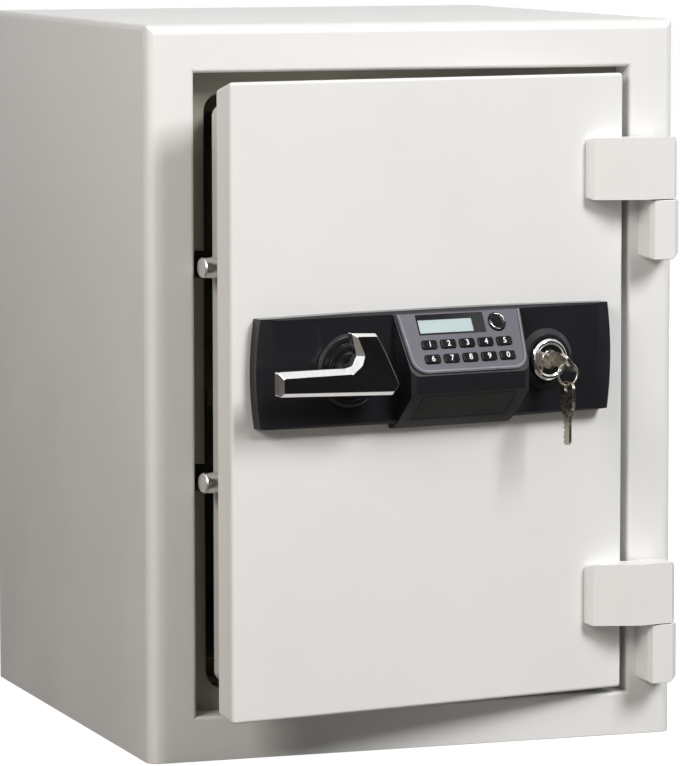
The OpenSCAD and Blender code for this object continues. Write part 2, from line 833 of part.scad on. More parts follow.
// The panel's crowned plate: bevelled long edges and ends that slope back
module panel_plate(inset, out) {
    end_zone = 15;
    end_back = 3.5;
    edge = 2.5;
    half_w = panel_w/2 - inset;
    half_h = panel_h/2 - inset;
    intersection() {
        along_y(-out, 0) panel_outline(inset);
        along_z(-panel_h, panel_h) translate([panel_x, 0])
            polygon([[-half_w, 0], [-half_w, -out + end_back], [-half_w + end_zone, -out],
                     [half_w - end_zone, -out], [half_w, -out + end_back], [half_w, 0]]);
        along_x(-panel_w, panel_w)
            polygon([[0, -half_h], [-out + edge, -half_h], [-out, -half_h + edge],
                     [-out, half_h - edge], [-out + edge, half_h], [0, half_h]]);
    }
}

// The console's wedge, from its side, front and plan outlines, drawn in by a wall
module console_wedge(wall = 0) {
    foot = console_foot + wall;
    chin = face_foot_z - chin_h;
    draft = 4;
    half_top = console_w/2 - wall;
    half_foot = (console_w - console_taper)/2 - wall;
    face_wall = wall/cos(face_lean);
    r = console_r - wall;
    intersection() {
        along_x(console_x - console_w, console_x + console_w)
            polygon([[0, foot], [skirt_y + wall, foot], [hood_y + wall, hood_z + wall],
                     [face_foot_y + wall, chin],
                     [face_foot_y + wall, face_foot_z - face_wall/2],
                     [face_top_y + wall, face_top_z - face_wall/2], [0, face_top_z - wall]]);
        along_y(-console_out, 0) translate([console_x, 0])
            polygon([[-half_foot, console_foot], [half_foot, console_foot],
                     [half_foot, face_foot_z], [half_top, face_top_z],
                     [-half_top, face_top_z], [-half_foot, face_foot_z]]);
        along_z(-panel_h, panel_h) translate([console_x, -console_out + wall]) {
            polygon([[-half_top - draft, console_out], [-half_top, r], [-half_top + r, 0],
                     [half_top - r, 0], [half_top, r], [half_top + draft, console_out]]);
            for (s = [-1, 1])
                translate([s*(half_top - r), r]) circle(r = r);
        }
    }
}

// Moulded lock panel with its keypad console, battery bay and the boss round the key lock
module lock_panel() {
    boss_out = panel_out + 3.5;
    boss_r = face_r + 7;
    color(black_plastic) on_door() difference() {
        translate([0, 0, lock_z]) {
            difference() {
                union() {
                    panel_plate(0, panel_out);
                    console_wedge();
                }
                panel_plate(panel_t + 1, panel_out - panel_t);
                console_wedge(panel_t);
            }
            translate([0, 0, -lock_z]) on_face(0, board_v)
                translate([-board_w/2 - 1.5, -board_l/2 - 1, -board_drop])
                    cube([board_w + 3, board_l + 2, board_drop - panel_t/2]);
            translate([keylock_x, 0, 0]) rotate([90, 0, 0]) rotate_extrude()
                polygon([[barrel_r + 0.1, panel_out - panel_t], [boss_r, panel_out - panel_t],
                         [boss_r, panel_out + 0.5], [boss_r - 4, boss_out], [face_r + 0.8, boss_out],
                         [face_r + 0.3, panel_out], [barrel_r + 0.1, panel_out]]);
        }
        facing_out(spindle_x, 0) cylinder(r = hub_r + 1, h = panel_out + 2);
        facing_out(keylock_x, 0) cylinder(r = barrel_r + 0.1, h = panel_out + 2);
        on_face() translate([0, 0, -bezel_sink])
            linear_extrude(height = bezel_t + 2) bezel_outline(-bezel_fit, bezel_v1 - bezel_v0 + bezel_fit);
        on_face(0, board_v)
            translate([-seat_w/2, -seat_l/2, -board_drop - 1]) cube([seat_w, seat_l, board_drop + 3]);
        battery_bay(0.25);
    }
}

// Opening of the battery bay in the console's lower slope, and the cover that fills it
module battery_bay(gap) {
    chin = face_foot_z - chin_h;
    rim = 3;
    slope = norm([hood_y - face_foot_y, chin - hood_z]);
    slope_turn = atan((hood_y - face_foot_y)/(chin - hood_z));
    bay_w = console_w - console_taper - 2*console_r + 2*gap;
    translate([console_x, face_foot_y, lock_z + chin])
        rotate([90 + slope_turn, 0, 0])
            translate([-bay_w/2, -slope + rim - gap, -2*panel_t])
                cube([bay_w, slope - 2*rim + 2*gap, 3*panel_t]);
}

// Cover that snaps into the battery bay and pulls straight off
module battery_cover() {
    color(black_plastic) on_door() intersection() {
        battery_bay(0);
        translate([0, 0, lock_z]) difference() {
            console_wedge();
            console_wedge(panel_t - 0.2);
        }
        translate([-200, -console_out, lock_z - 200]) cube([400, console_out - 5, 400]);
    }
}

// Plate over the keypad with its raised rim, key holes, display window and button hole
module keypad_bezel() {
    rim_out = 0.8;
    rim_in = 2.2;
    rim_rise = 0.5;
    color(gunmetal) on_door() on_face() difference() {
        translate([0, 0, -bezel_sink]) {
            linear_extrude(height = bezel_t) bezel_outline();
            translate([0, 0, bezel_t/2]) linear_extrude(height = bezel_t/2 + rim_rise) difference() {
                bezel_outline(rim_out);
                bezel_outline(rim_in, bezel_v1);
            }
        }
        translate([0, 0, -bezel_sink - 1]) linear_extrude(height = bezel_t + 3) {
            for (k = [0:9])
                translate(key_place(k)) rounded(key_l + 2*key_gap, key_b + 2*key_gap, 1.6 + key_gap);
            translate([button_u, button_v]) circle(r = button_r + key_gap);
            translate([display_u, display_v]) square([display_l, display_b], center = true);
        }
    }
}

// Place of key k on the face: 1 to 5 over 6 to 0
function key_place(k) = [
    keys_u + (k % 5 - 2)*key_pitch,
    row_v + (k < 5 ? row_pitch : 0)
];

// A key: its cap through the bezel and the flange that keeps it in
module pad_key(k) {
    color(black_plastic) on_door() on_face() translate(key_place(k)) {
        translate([0, 0, -bezel_sink - 0.2])
            linear_extrude(height = bezel_t + key_rise + 0.2) rounded(key_l, key_b, 1.6);
        translate([0, 0, -bezel_sink - 1.3])
            linear_extrude(height = 1.1) rounded(key_l + 1.6, key_b + 1.6, 2);
    }
}

module start_button() {
    color(black_plastic) on_door() on_face(button_u, button_v) {
        translate([0, 0, -bezel_sink - 0.2]) rotate_extrude()
            polygon([[0, 0], [button_r, 0], [button_r, bezel_t + 0.7], [button_r - 1, bezel_t + 1.5],
                     [button_r - 2.4, bezel_t + 1], [0, bezel_t + 1]]);
        translate([0, 0, -bezel_sink - 1.3]) cylinder(r = button_r + 0.8, h = 1.1);
    }
}

// Black frame of the display
module display_frame() {
    color(black_plastic) on_door() on_face() translate([0, 0, -bezel_sink - 1.5])
        linear_extrude(height = bezel_t + 1.7) difference() {
            translate([display_u, display_v]) square([display_l, display_b], center = true);
            translate([screen_u, screen_v]) square([screen_l, screen_b], center = true);
        }
}

module display_screen() {
    color([0.75, 0.86, 0.82]) on_door() on_face(screen_u, screen_v)
        translate([-screen_l/2, -screen_b/2, -bezel_sink - 1.5]) cube([screen_l, screen_b, bezel_t + 1.2]);
}

// Circuit board under the keys, against its seat in the console
module circuit_board() {
    color([0.10, 0.32, 0.16]) on_door() on_face(0, board_v)
        translate([-board_w/2, -board_l/2, -board_drop - board_t]) cube([board_w, board_l, board_t]);
}

// Holder of the cells: a back plate between two cheeks
module battery_holder() {
    cheek = [[holder_y, 9], [-19.5, 9], [-30, -9], [-31, -12], [-31, -16], [-13.5, -32],
             [holder_y, -32]];
    cheek_t = 1.5;
    color(black_plastic) on_door() translate([console_x, 0, lock_z]) {
        for (s = [-1, 1])
            translate([s*(cell_l + cheek_t)/2, 0, 0])
                rotate([90, 0, 90]) linear_extrude(height = cheek_t, center = true) polygon(cheek);
        translate([-cell_l/2 - cheek_t, holder_y - cheek_t, -32]) cube([cell_l + 2*cheek_t, cheek_t, 41]);
    }
}

module batteries() {
    color([0.15, 0.15, 0.17]) on_door() translate([console_x, 0, lock_z])
        for (at = [[-12.8, -24.8], [-24.7, -13.4], [-12.8, -5.3], [-12.8, 9.1]])
            translate([0, at[0], at[1]]) rotate([0, 90, 0])
                cylinder(r = cell_r, h = cell_l, center = true);
}

// Control board inside the plug, on its back wall
module control_board() {
    color([0.10, 0.32, 0.16]) on_door()
        translate([console_x - ctrl_w/2, plug_inner_y1 - ctrl_t, lock_z - ctrl_low])
            cube([ctrl_w, ctrl_t, ctrl_h]);
}

module control_cable() {
    color(black_plastic) on_door() facing_out(console_x, -plug_inner_y1 + ctrl_t)
        cylinder(r = 2.5, h = plug_inner_y1 - ctrl_t - holder_y);
}

// Stepped collar under the handle
module handle_collar() {
    color(black_plastic) on_door() facing_out(spindle_x, panel_out) rotate_extrude()
        polygon([[hub_r + 0.3, 0], [collar_r, 0], [collar_r, 1.5], [collar_r - 2, 3], [collar_r - 4.5, 3],
                 [collar_r - 6.5, 1.6], [19, 1.6], [18.4, 4.4], [16, 4.4], [14.6, 3], [13, 3],
                 [12.4, 5.5], [hub_r + 0.3, 5.5]]);
}

// One convex piece of the lever, its front outline smaller than its back one
module lever_piece(back, front) {
    hull() {
        linear_extrude(height = lever_t - 4) polygon(back);
        translate([0, 0, lever_t - 0.1]) linear_extrude(height = 0.1) polygon(front);
    }
}

// Cranked lever on its hub
module handle() {
    color(chrome) on_door() difference() {
        union() {
            facing_out(spindle_x, lever_back) {
                lever_piece([[-lever_l, 4.7], [0, 4.7], [0, -15], [-lever_l, -12.7]],
                            [[-lever_l + 2, 0.4], [0, 0.8], [0, -12.3], [-lever_l + 2, -10]]);
                lever_piece([[-16.5, 4.7], [-9.9, 12], [13.9, 12], [24.5, -8.9], [19.3, -15.7],
                             [-16.5, -14.5]],
                            [[-13.5, 0.8], [-5.2, 12], [12.3, 12], [22.3, -8.4], [17.9, -12.9],
                             [-13.5, -11.9]]);
                lever_piece([[-9.9, 12], [-13.7, 28.9], [5.7, 27.9], [13.9, 12]],
                            [[-5.2, 12], [-11.3, 26.8], [4.3, 26.4], [12.3, 12]]);
            }
            facing_out(spindle_x, panel_out - 1) cylinder(r = hub_r, h = grip_gap + 2);
        }
        facing_out(spindle_x, 0) cylinder(r = spindle_r, h = lever_back + 4);
    }
}

// Chrome housing of the key lock: round face, barrel and the plug's bore
module lock_housing() {
    color(chrome) on_door() difference() {
        facing_out(keylock_x, -barrel_back) rotate_extrude()
            polygon([[0, 0], [barrel_r, 0], [barrel_r, barrel_back + panel_out],
                     [face_r, barrel_back + panel_out], [face_r, barrel_back + face_out - 1.5],
                     [face_r - 1.5, barrel_back + face_out],
                     [face_r - 3, barrel_back + face_out], [face_r - 4, barrel_back + face_out - 0.8],
                     [0, barrel_back + face_out - 0.8]]);
        facing_out(keylock_x, -barrel_back - 1)
            cylinder(r = plug_r + plug_clear, h = face_out + barrel_back + 10);
    }
}

// Turning plug with its slanted slot
module lock_plug() {
    color(chrome) on_door() difference() {
        facing_out(keylock_x, -plug_back) cylinder(r = plug_r, h = plug_back + face_out);
        facing_out(keylock_x, face_out - blade_l) rotate(-slot_turn)
            translate([-blade_w/2 - 0.2, -blade_t/2 - 0.2, 0])
                cube([blade_w + 0.4, blade_t + 0.4, blade_l + 1]);
    }
}

// Tail on the plug's inner end
module lock_cam() {
    cam_l = 20;
    color(steel) on_door() along_y(plug_back, plug_back + 3) translate([keylock_x, lock_z]) {
        circle(r = plug_r + 1.5);
        translate([-4.5, -cam_l]) square([9, cam_l]);
        translate([0, -cam_l]) circle(r = 4.5);
    }
}

// Flat outline of a key: bow with its hole, shoulder and blade with cut bits, blade downwards
module key_outline() {
    difference() {
        union() {
            translate([0, -bow_l/2]) rounded(bow_w, bow_l, 5);
            translate([-5.5, -bow_l - 4]) square([11, 6]);
            translate([-blade_w/2, -bow_l - 4 - blade_l + 2]) square([blade_w, blade_l]);
        }
        translate([0, -bow_drop]) circle(r = bow_hole_r);
        for (k = [0:4])
            translate([blade_w/2, -bow_l - 9 - 4*k]) rotate(45) square(1.6 + 0.5*(k % 3), center = true);
        translate([0, -bow_l - 4 - blade_l + 2]) for (s = [-1, 1])
            translate([s*blade_w/2, 0]) rotate(45) square(3, center = true);
    }
}

// The key in the lock, its bow outwards
module inserted_key() {
    color(chrome) on_door()
        facing_out(keylock_x, hole_out + bow_drop)
            rotate([0, 0, -slot_turn]) rotate([90, 0, 0])
                translate([0, 0, -blade_t/2]) linear_extrude(height = blade_t) key_outline();
}

// Ring through both bows
module key_ring() {
    color(chrome) on_door() facing_out(keylock_x, hole_out) translate([0, -ring_r - ring_sag, 0])
        rotate_extrude() translate([ring_r, 0]) circle(r = wire_r, $fn = 24);
}

// The spare key hangs edge on from the ring
module spare_key() {
    color(chrome) on_door()
        translate([keylock_x, -hole_out, lock_z - 2*ring_r - ring_sag])
            rotate([90, 0, 90]) translate([0, bow_drop - bow_hole_r + wire_r + 0.1, -blade_t/2])
                linear_extrude(height = blade_t) key_outline();
}

outer_shell();
cabinet_insulation();
back_panel();
door_jamb();
inner_liner();
strike_plate();
hinge_knuckle(leaf_z_up);  // hinge_knuckle_upper
hinge_knuckle(leaf_z_low);  // hinge_knuckle_lower
hinge_pin(leaf_z_up);  // hinge_pin_upper
hinge_pin(leaf_z_low);  // hinge_pin_lower
shelf();
shelf_pegs();
door_skin();
door_backing();
door_inner_panel();
door_insulation();
door_seal();
hinge_leaf(leaf_z_up);  // hinge_leaf_upper
hinge_leaf(leaf_z_low);  // hinge_leaf_lower
dead_bars();
bolt_guides();
lock_panel();
keypad_bezel();
display_frame();
display_screen();
circuit_board();
battery_holder();
batteries();
battery_cover();
control_board();
control_cable();
handle_collar();
spindle_bush();
handle();
spindle();
drive_cam();
bolt_bar();
locking_bolt(bolt_z_up);  // bolt_upper
locking_bolt(bolt_z_low);  // bolt_lower
solenoid();
solenoid_pin();
lock_housing();
lock_plug();
lock_cam();
inserted_key();
key_ring();
spare_key();
pad_key(0);  // key_1
pad_key(1);  // key_2
pad_key(2);  // key_3
pad_key(3);  // key_4
pad_key(4);  // key_5
pad_key(5);  // key_6
pad_key(6);  // key_7
pad_key(7);  // key_8
pad_key(8);  // key_9
pad_key(9);  // key_0
start_button();
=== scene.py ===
"""Looks of a fire-resistant electronic safe: painted steel, gloss black lock panel, chrome lever and keys.

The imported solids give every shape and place. This script rounds their edges, leans the folds of the door's
pan, shortens the spare key, gives each piece its finish, adds the printed digits, the button's bright arcs
and the small screws, and sets the studio.
"""
import json
import math

import bmesh
import bpy
from mathutils import Matrix, Vector


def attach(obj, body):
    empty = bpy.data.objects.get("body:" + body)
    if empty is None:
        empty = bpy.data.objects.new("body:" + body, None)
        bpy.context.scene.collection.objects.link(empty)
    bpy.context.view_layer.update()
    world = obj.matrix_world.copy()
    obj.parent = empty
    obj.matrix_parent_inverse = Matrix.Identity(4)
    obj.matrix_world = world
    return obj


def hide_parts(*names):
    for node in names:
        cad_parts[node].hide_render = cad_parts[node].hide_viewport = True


MM = 0.001

# Edges sharper than this many degrees are rounded, and the facets of round forms are flatter
FACET_ANGLE = 15
# Lathed forms are shaded smooth up to this many degrees
CREASE_ANGLE = 30
# Points of a solid closer than this many metres become one, and so do faces at less than this angle
SAME_POINT = 2e-6
SAME_FACE = math.radians(0.6)
# Steps of a rounded edge, and how strongly large flats steer its light
EDGE_STEPS = 3
FLAT_WEIGHT = 90

# The cabinet's front face in the frame and the hinge's axis counted from that face, in millimetres
FRONT_Y = -200
HINGE = Vector((184, -12, 0))
AJAR = math.radians(10)

# The keypad's slanted face: its foot in millimetres of the shut door, and how far it leans back as it rises
FACE_FOOT = Vector((13, -34.5, 276.6))
FACE_BACK = 21.5
FACE_RISE = 42.9
FACE_LEAN = math.atan2(FACE_BACK, FACE_RISE)

# What stands on the keypad's face, in millimetres along it, up it and out of it
# Bezel faces higher than RIM_FROM get the brighter rim colour, a painted highlight
RIM_FROM = 1.65
CAP_TOP = 2.9
KEY_MIDDLE = 0.9
KEY_PITCH = 15.3
KEY_COLUMNS = [KEY_MIDDLE + KEY_PITCH * step for step in range(-2, 3)]
KEY_ROWS = [22.6, 11.7]
KEY_DIGITS = ["12345", "67890"]
DIGIT_SIZE = 5.8
DIGIT_BOLD = 0.1
DIGIT_RISE = 0.04
DIGIT_LIFT = 0.02
BUTTON = (29.5, 37.4, 2.72)
ARC_RADIUS = 5.7
ARC_WIDTH = 1.5
ARC_RISE = 0.4
ARC_TIP = 0.04
ARC_DEGREES = {"button_arc_upper": (0, 105), "button_arc_lower": (175, 285)}

# The console's lower slope faces down and out by more than these shares; these faces get a darker matt
# finish, painted shade
SLOPE_DOWN = -0.4
SLOPE_OUT = -0.3

# The lever, counted from the spindle: outline corners as (along, up, corner radius)
LOCK_Z = 281.5
SPINDLE_X = -74
LEVER_BACK_Y = 35
LEVER_THICK = 10
LEVER_EDGE = 6
LEVER_OUTER = [(-71, -12.7, 1.6), (19.3, -15.7, 3.5), (24.5, -8.9, 4), (12.6, 14.5, 14), (5.7, 27.9, 2.2),
               (-13.7, 28.9, 0.8), (-9.8, 13, 5), (-13.2, 6.1, 4), (-19, 4.7, 5), (-71, 4.7, 1.6)]
LEVER_FACE = [(-69, -10, 1.0), (17.9, -12.9, 2.6), (22.3, -8.4, 3), (11.1, 14.5, 14), (4.3, 26.2, 1.6),
              (-11.3, 26.8, 0.6), (-5.2, 13.5, 5), (-7.4, 6.2, 4), (-14.5, 0.8, 5), (-69, 0.4, 1.0)]
LEVER_SOFT = 0.55
LEVER_STEPS = 4
HUB_R = 9
HUB_FROM_Y = 12
HUB_SUNK = 1
HUB_LONG = LEVER_BACK_Y - HUB_FROM_Y + HUB_SUNK
HUB_FACETS = 64

# The door pan's folded top and foot lean inwards towards the back, in millimetres of the shut door
DOOR_MID = 260
PAN_DEEP = 20
FOLD_HALF = 215
FOLD_LEAN = {1: 6, -1: 4.5}

# The spare key shows shorter below its ring hole, which lies this far under its bow's top
KEY_HOLE_DROP = 4.6
KEY_SHORTER = 0.85

# Screws of the plug's flange, in millimetres of the shut door; a head's profile as (radius, height)
PLUG_HALF = (142, 208)
FLANGE_Y = 21.5
SCREW_PITCH = 66
CORNER_GAP = (14, 30)
SCREW_HEAD = [(0, -0.2), (2.1, -0.2), (2.1, 0.495), (1.575, 0.9), (0.9, 0.9), (0.7, 0.36), (0, 0.315)]
SCREW_FACETS = 20

# Values between which a noise mostly stays, and the scale of its clouds and blots against its grain
NOISE_SPAN = (0.3, 0.7)
CLOUD_SCALE = 0.012
BLOT_SCALE = 0.15
MARK_SPAN = (0.12, 0.4)
SCRATCH_SPAN = (0.2, 0.8)
SCRATCH_TINT = (0.94, 1.04)

# The camera that was fitted to the photograph, in millimetres and degrees
CAMERA_AT = Vector((-1175.0, -3408.5, 625.6))
CAMERA_YAW = 19.217
CAMERA_PITCH = 6.035
CAMERA_ROLL = -0.083
CAMERA_LENS = 225.8
CAMERA_FAR = 60

# Lamps in metres and watts: name, place, aim, size, power, colour, and whether gloss mirrors the lamp
SOFTBOXES = [
    ("key_softbox", (1.85, -2.85, 2.82), (0, -0.2, 0.26), (1.4, 1.4), 140, (1, 1, 1), True),
    ("side_softbox", (-1.8, -1.5, 1.4), (-0.1, -0.1, 0.3), (0.9, 0.9), 32, (1, 0.935, 0.875), True),
    ("back_softbox", (0.8, 3.0, 0.45), (0, 0.2, 0.26), (1.6, 0.8), 22, (1, 1, 1), False),
]

# Dark cards in metres: name, place, aim, size
FLAGS = [
    ("dark_cloth", (1.9, -2.9, 0.002), (1.9, -2.9, 1), (4.2, 3.8)),
    ("dark_card", (2.9, -3.9, 0.55), (0, -0.2, 0.4), (4.2, 1.1)),
    ("dark_card_above", (1.41, -1.40, 1.73), (0.02, -0.26, 0.29), (1.0, 1.0)),
]
FLAG_BLACK = (0.008, 0.008, 0.008, 1)

# The sky's strength for light, and the floor: its half width and depth below the safe in metres, the colour
# that light leaves it with, and how its paper and its own glow look to the camera
SKY_LEVEL = 0.09
FLOOR_HALF = 6.0
FLOOR_BELOW = 0.0005
FLOOR_BOUNCE = (0.22, 0.207, 0.193, 1)
FLOOR_PAPER = (0.3, 0.3, 0.3, 1)
FLOOR_GLOW = 0.94


def srgb(red, green, blue):
    """A colour as it shows on screen, made linear."""
    def linear(value):
        value /= 255
        return value / 12.92 if value <= 0.04045 else ((value + 0.055) / 1.055) ** 2.4
    return linear(red), linear(green), linear(blue), 1.0


def door_matrix():
    """From millimetres of the shut door, counted from the cabinet's front, to the frame."""
    swing = Matrix.Translation(HINGE) @ Matrix.Rotation(AJAR, 4, "Z") @ Matrix.Translation(-HINGE)
    return Matrix.Scale(MM, 4) @ Matrix.Translation((0, FRONT_Y, 0)) @ swing


def face_matrix():
    """From millimetres on the keypad's face, its foot's middle at the origin, to the frame."""
    lean = Matrix.Rotation(math.pi / 2 - FACE_LEAN, 4, "X")
    return door_matrix() @ Matrix.Translation(FACE_FOOT) @ lean


def handle_matrix(depth):
    """From millimetres about the spindle, local Z out of the door from a depth, to the frame."""
    turn = Matrix.Rotation(math.pi / 2, 4, "X")
    return door_matrix() @ Matrix.Translation((SPINDLE_X, -depth, LOCK_Z)) @ turn


# Shader groups

def new_group(name, inputs, outputs):
    """An empty shader group with named sockets: (tree, its input node, its output node)."""
    tree = bpy.data.node_groups.new(name, "ShaderNodeTree")
    for label, kind, value in inputs:
        socket = tree.interface.new_socket(label, in_out="INPUT", socket_type="NodeSocket" + kind)
        socket.default_value = value
    for label, kind in outputs:
        tree.interface.new_socket(label, in_out="OUTPUT", socket_type="NodeSocket" + kind)
    return tree, tree.nodes.new("NodeGroupInput"), tree.nodes.new("NodeGroupOutput")


def feed(tree, socket, value):
    """Sets a socket to a number or links it to another socket."""
    if isinstance(value, (int, float)):
        socket.default_value = value
    else:
        tree.links.new(value, socket)


def maths(tree, operation, first, second):
    """A Math node on two sockets or numbers; returns its output."""
    node = tree.nodes.new("ShaderNodeMath")
    node.operation = operation
    feed(tree, node.inputs[0], first)
    feed(tree, node.inputs[1], second)
    return node.outputs[0]


def ranged(tree, value, low, high, to_low, to_high):
    """A Map Range node on value; its limits are sockets or numbers."""
    node = tree.nodes.new("ShaderNodeMapRange")
    tree.links.new(value, node.inputs["Value"])
    for label, limit in (("From Min", low), ("From Max", high), ("To Min", to_low), ("To Max", to_high)):
        feed(tree, node.inputs[label], limit)
    return node.outputs["Result"]


def noise(tree, scale, detail, stretch=None):
    """A Noise node on Object coordinates, its scale a socket in features per metre."""
    where = tree.nodes.new("ShaderNodeTexCoord").outputs["Object"]
    if stretch is not None:
        mapping = tree.nodes.new("ShaderNodeMapping")
        tree.links.new(where, mapping.inputs["Vector"])
        tree.links.new(stretch, mapping.inputs["Scale"])
        where = mapping.outputs["Vector"]
    node = tree.nodes.new("ShaderNodeTexNoise")
    node.inputs["Detail"].default_value = detail
    tree.links.new(where, node.inputs["Vector"])
    tree.links.new(scale, node.inputs["Scale"])
    return node.outputs["Fac"]


def scaled_colour(tree, colour, factor):
    """A colour socket times a number socket."""
    tint = tree.nodes.new("ShaderNodeVectorMath")
    tint.operation = "SCALE"
    tree.links.new(colour, tint.inputs[0])
    tree.links.new(factor, tint.inputs["Scale"])
    return tint.outputs["Vector"]


def coat_group():
    """Paint or moulded skin: cloudy and fine colour drift, uneven gloss and a fine relief."""
    tree, given, out = new_group(
        "coat_skin",
        [("Color", "Color", (0.8, 0.8, 0.8, 1)), ("Drift", "Float", 0.04),
         ("Grain per metre", "Float", 900.0), ("Roughness", "Float", 0.5), ("Uneven gloss", "Float", 0.08)],
        [("Color", "Color"), ("Roughness", "Float"), ("Relief", "Float")])
    fine = noise(tree, given.outputs["Grain per metre"], 3)
    cloud = noise(tree, maths(tree, "MULTIPLY", given.outputs["Grain per metre"], CLOUD_SCALE), 4)
    low = maths(tree, "SUBTRACT", 1.0, given.outputs["Drift"])
    high = maths(tree, "ADD", 1.0, given.outputs["Drift"])
    shade = maths(tree, "MULTIPLY", ranged(tree, cloud, *NOISE_SPAN, low, high),
                  ranged(tree, fine, *NOISE_SPAN, low, high))
    tree.links.new(scaled_colour(tree, given.outputs["Color"], shade), out.inputs["Color"])
    gloss_low = maths(tree, "SUBTRACT", given.outputs["Roughness"], given.outputs["Uneven gloss"])
    gloss_high = maths(tree, "ADD", given.outputs["Roughness"], given.outputs["Uneven gloss"])
    tree.links.new(ranged(tree, cloud, *NOISE_SPAN, gloss_low, gloss_high), out.inputs["Roughness"])
    tree.links.new(fine, out.inputs["Relief"])
    return tree


def metal_group():
    """Metal: handling marks in its gloss and long fine scratches one way."""
    tree, given, out = new_group(
        "metal_skin",
        [("Color", "Color", (0.8, 0.8, 0.8, 1)), ("Roughness", "Float", 0.1), ("Marks", "Float", 0.05),
         ("Scratch per metre", "Float", 400.0), ("Stretch", "Vector", (1, 1, 1))],
        [("Color", "Color"), ("Roughness", "Float"), ("Relief", "Float")])
    scratch = noise(tree, given.outputs["Scratch per metre"], 5, given.outputs["Stretch"])
    blot = noise(tree, maths(tree, "MULTIPLY", given.outputs["Scratch per metre"], BLOT_SCALE), 3)
    both = maths(tree, "MULTIPLY", scratch, blot)
    gloss_high = maths(tree, "ADD", given.outputs["Roughness"], given.outputs["Marks"])
    gloss = ranged(tree, both, *MARK_SPAN, given.outputs["Roughness"], gloss_high)
    tint = ranged(tree, scratch, *SCRATCH_SPAN, *SCRATCH_TINT)
    tree.links.new(gloss, out.inputs["Roughness"])
    tree.links.new(scaled_colour(tree, given.outputs["Color"], tint), out.inputs["Color"])
    tree.links.new(scratch, out.inputs["Relief"])
    return tree


# Finishes

def blank_material(name):
    """A material with its Principled shader: (material, tree, shader)."""
    material = bpy.data.materials.new(name)
    material.use_nodes = True
    tree = material.node_tree
    return material, tree, tree.nodes["Principled BSDF"]


def skin_material(name, group, settings, depth, strength):
    """A material with its skin from a shader group and a relief in metres: (material, shader)."""
    material, tree, shader = blank_material(name)
    skin = tree.nodes.new("ShaderNodeGroup")
    skin.node_tree = group
    for label, value in settings.items():
        skin.inputs[label].default_value = value
    bump = tree.nodes.new("ShaderNodeBump")
    bump.inputs["Distance"].default_value = depth
    bump.inputs["Strength"].default_value = strength
    tree.links.new(skin.outputs["Color"], shader.inputs["Base Color"])
    tree.links.new(skin.outputs["Roughness"], shader.inputs["Roughness"])
    tree.links.new(skin.outputs["Relief"], bump.inputs["Height"])
    tree.links.new(bump.outputs["Normal"], shader.inputs["Normal"])
    return material, shader


def coated(name, group, colour, roughness, drift=0.02, uneven=0.05, grain=900, depth=2e-5, strength=0.3,
           shine=0.5):
    """A painted or moulded finish."""
    settings = {"Color": colour, "Drift": drift, "Grain per metre": grain, "Roughness": roughness,
                "Uneven gloss": uneven}
    material, shader = skin_material(name, group, settings, depth, strength)
    shader.inputs["Specular IOR Level"].default_value = shine
    return material


def metal(name, group, colour, roughness, marks=0.05, scratch=400, stretch=(1, 1, 1), depth=3e-6,
          strength=0.2):
    """A bare or plated metal finish."""
    settings = {"Color": colour, "Roughness": roughness, "Marks": marks, "Scratch per metre": scratch,
                "Stretch": stretch}
    material, shader = skin_material(name, group, settings, depth, strength)
    shader.inputs["Metallic"].default_value = 1.0
    return material


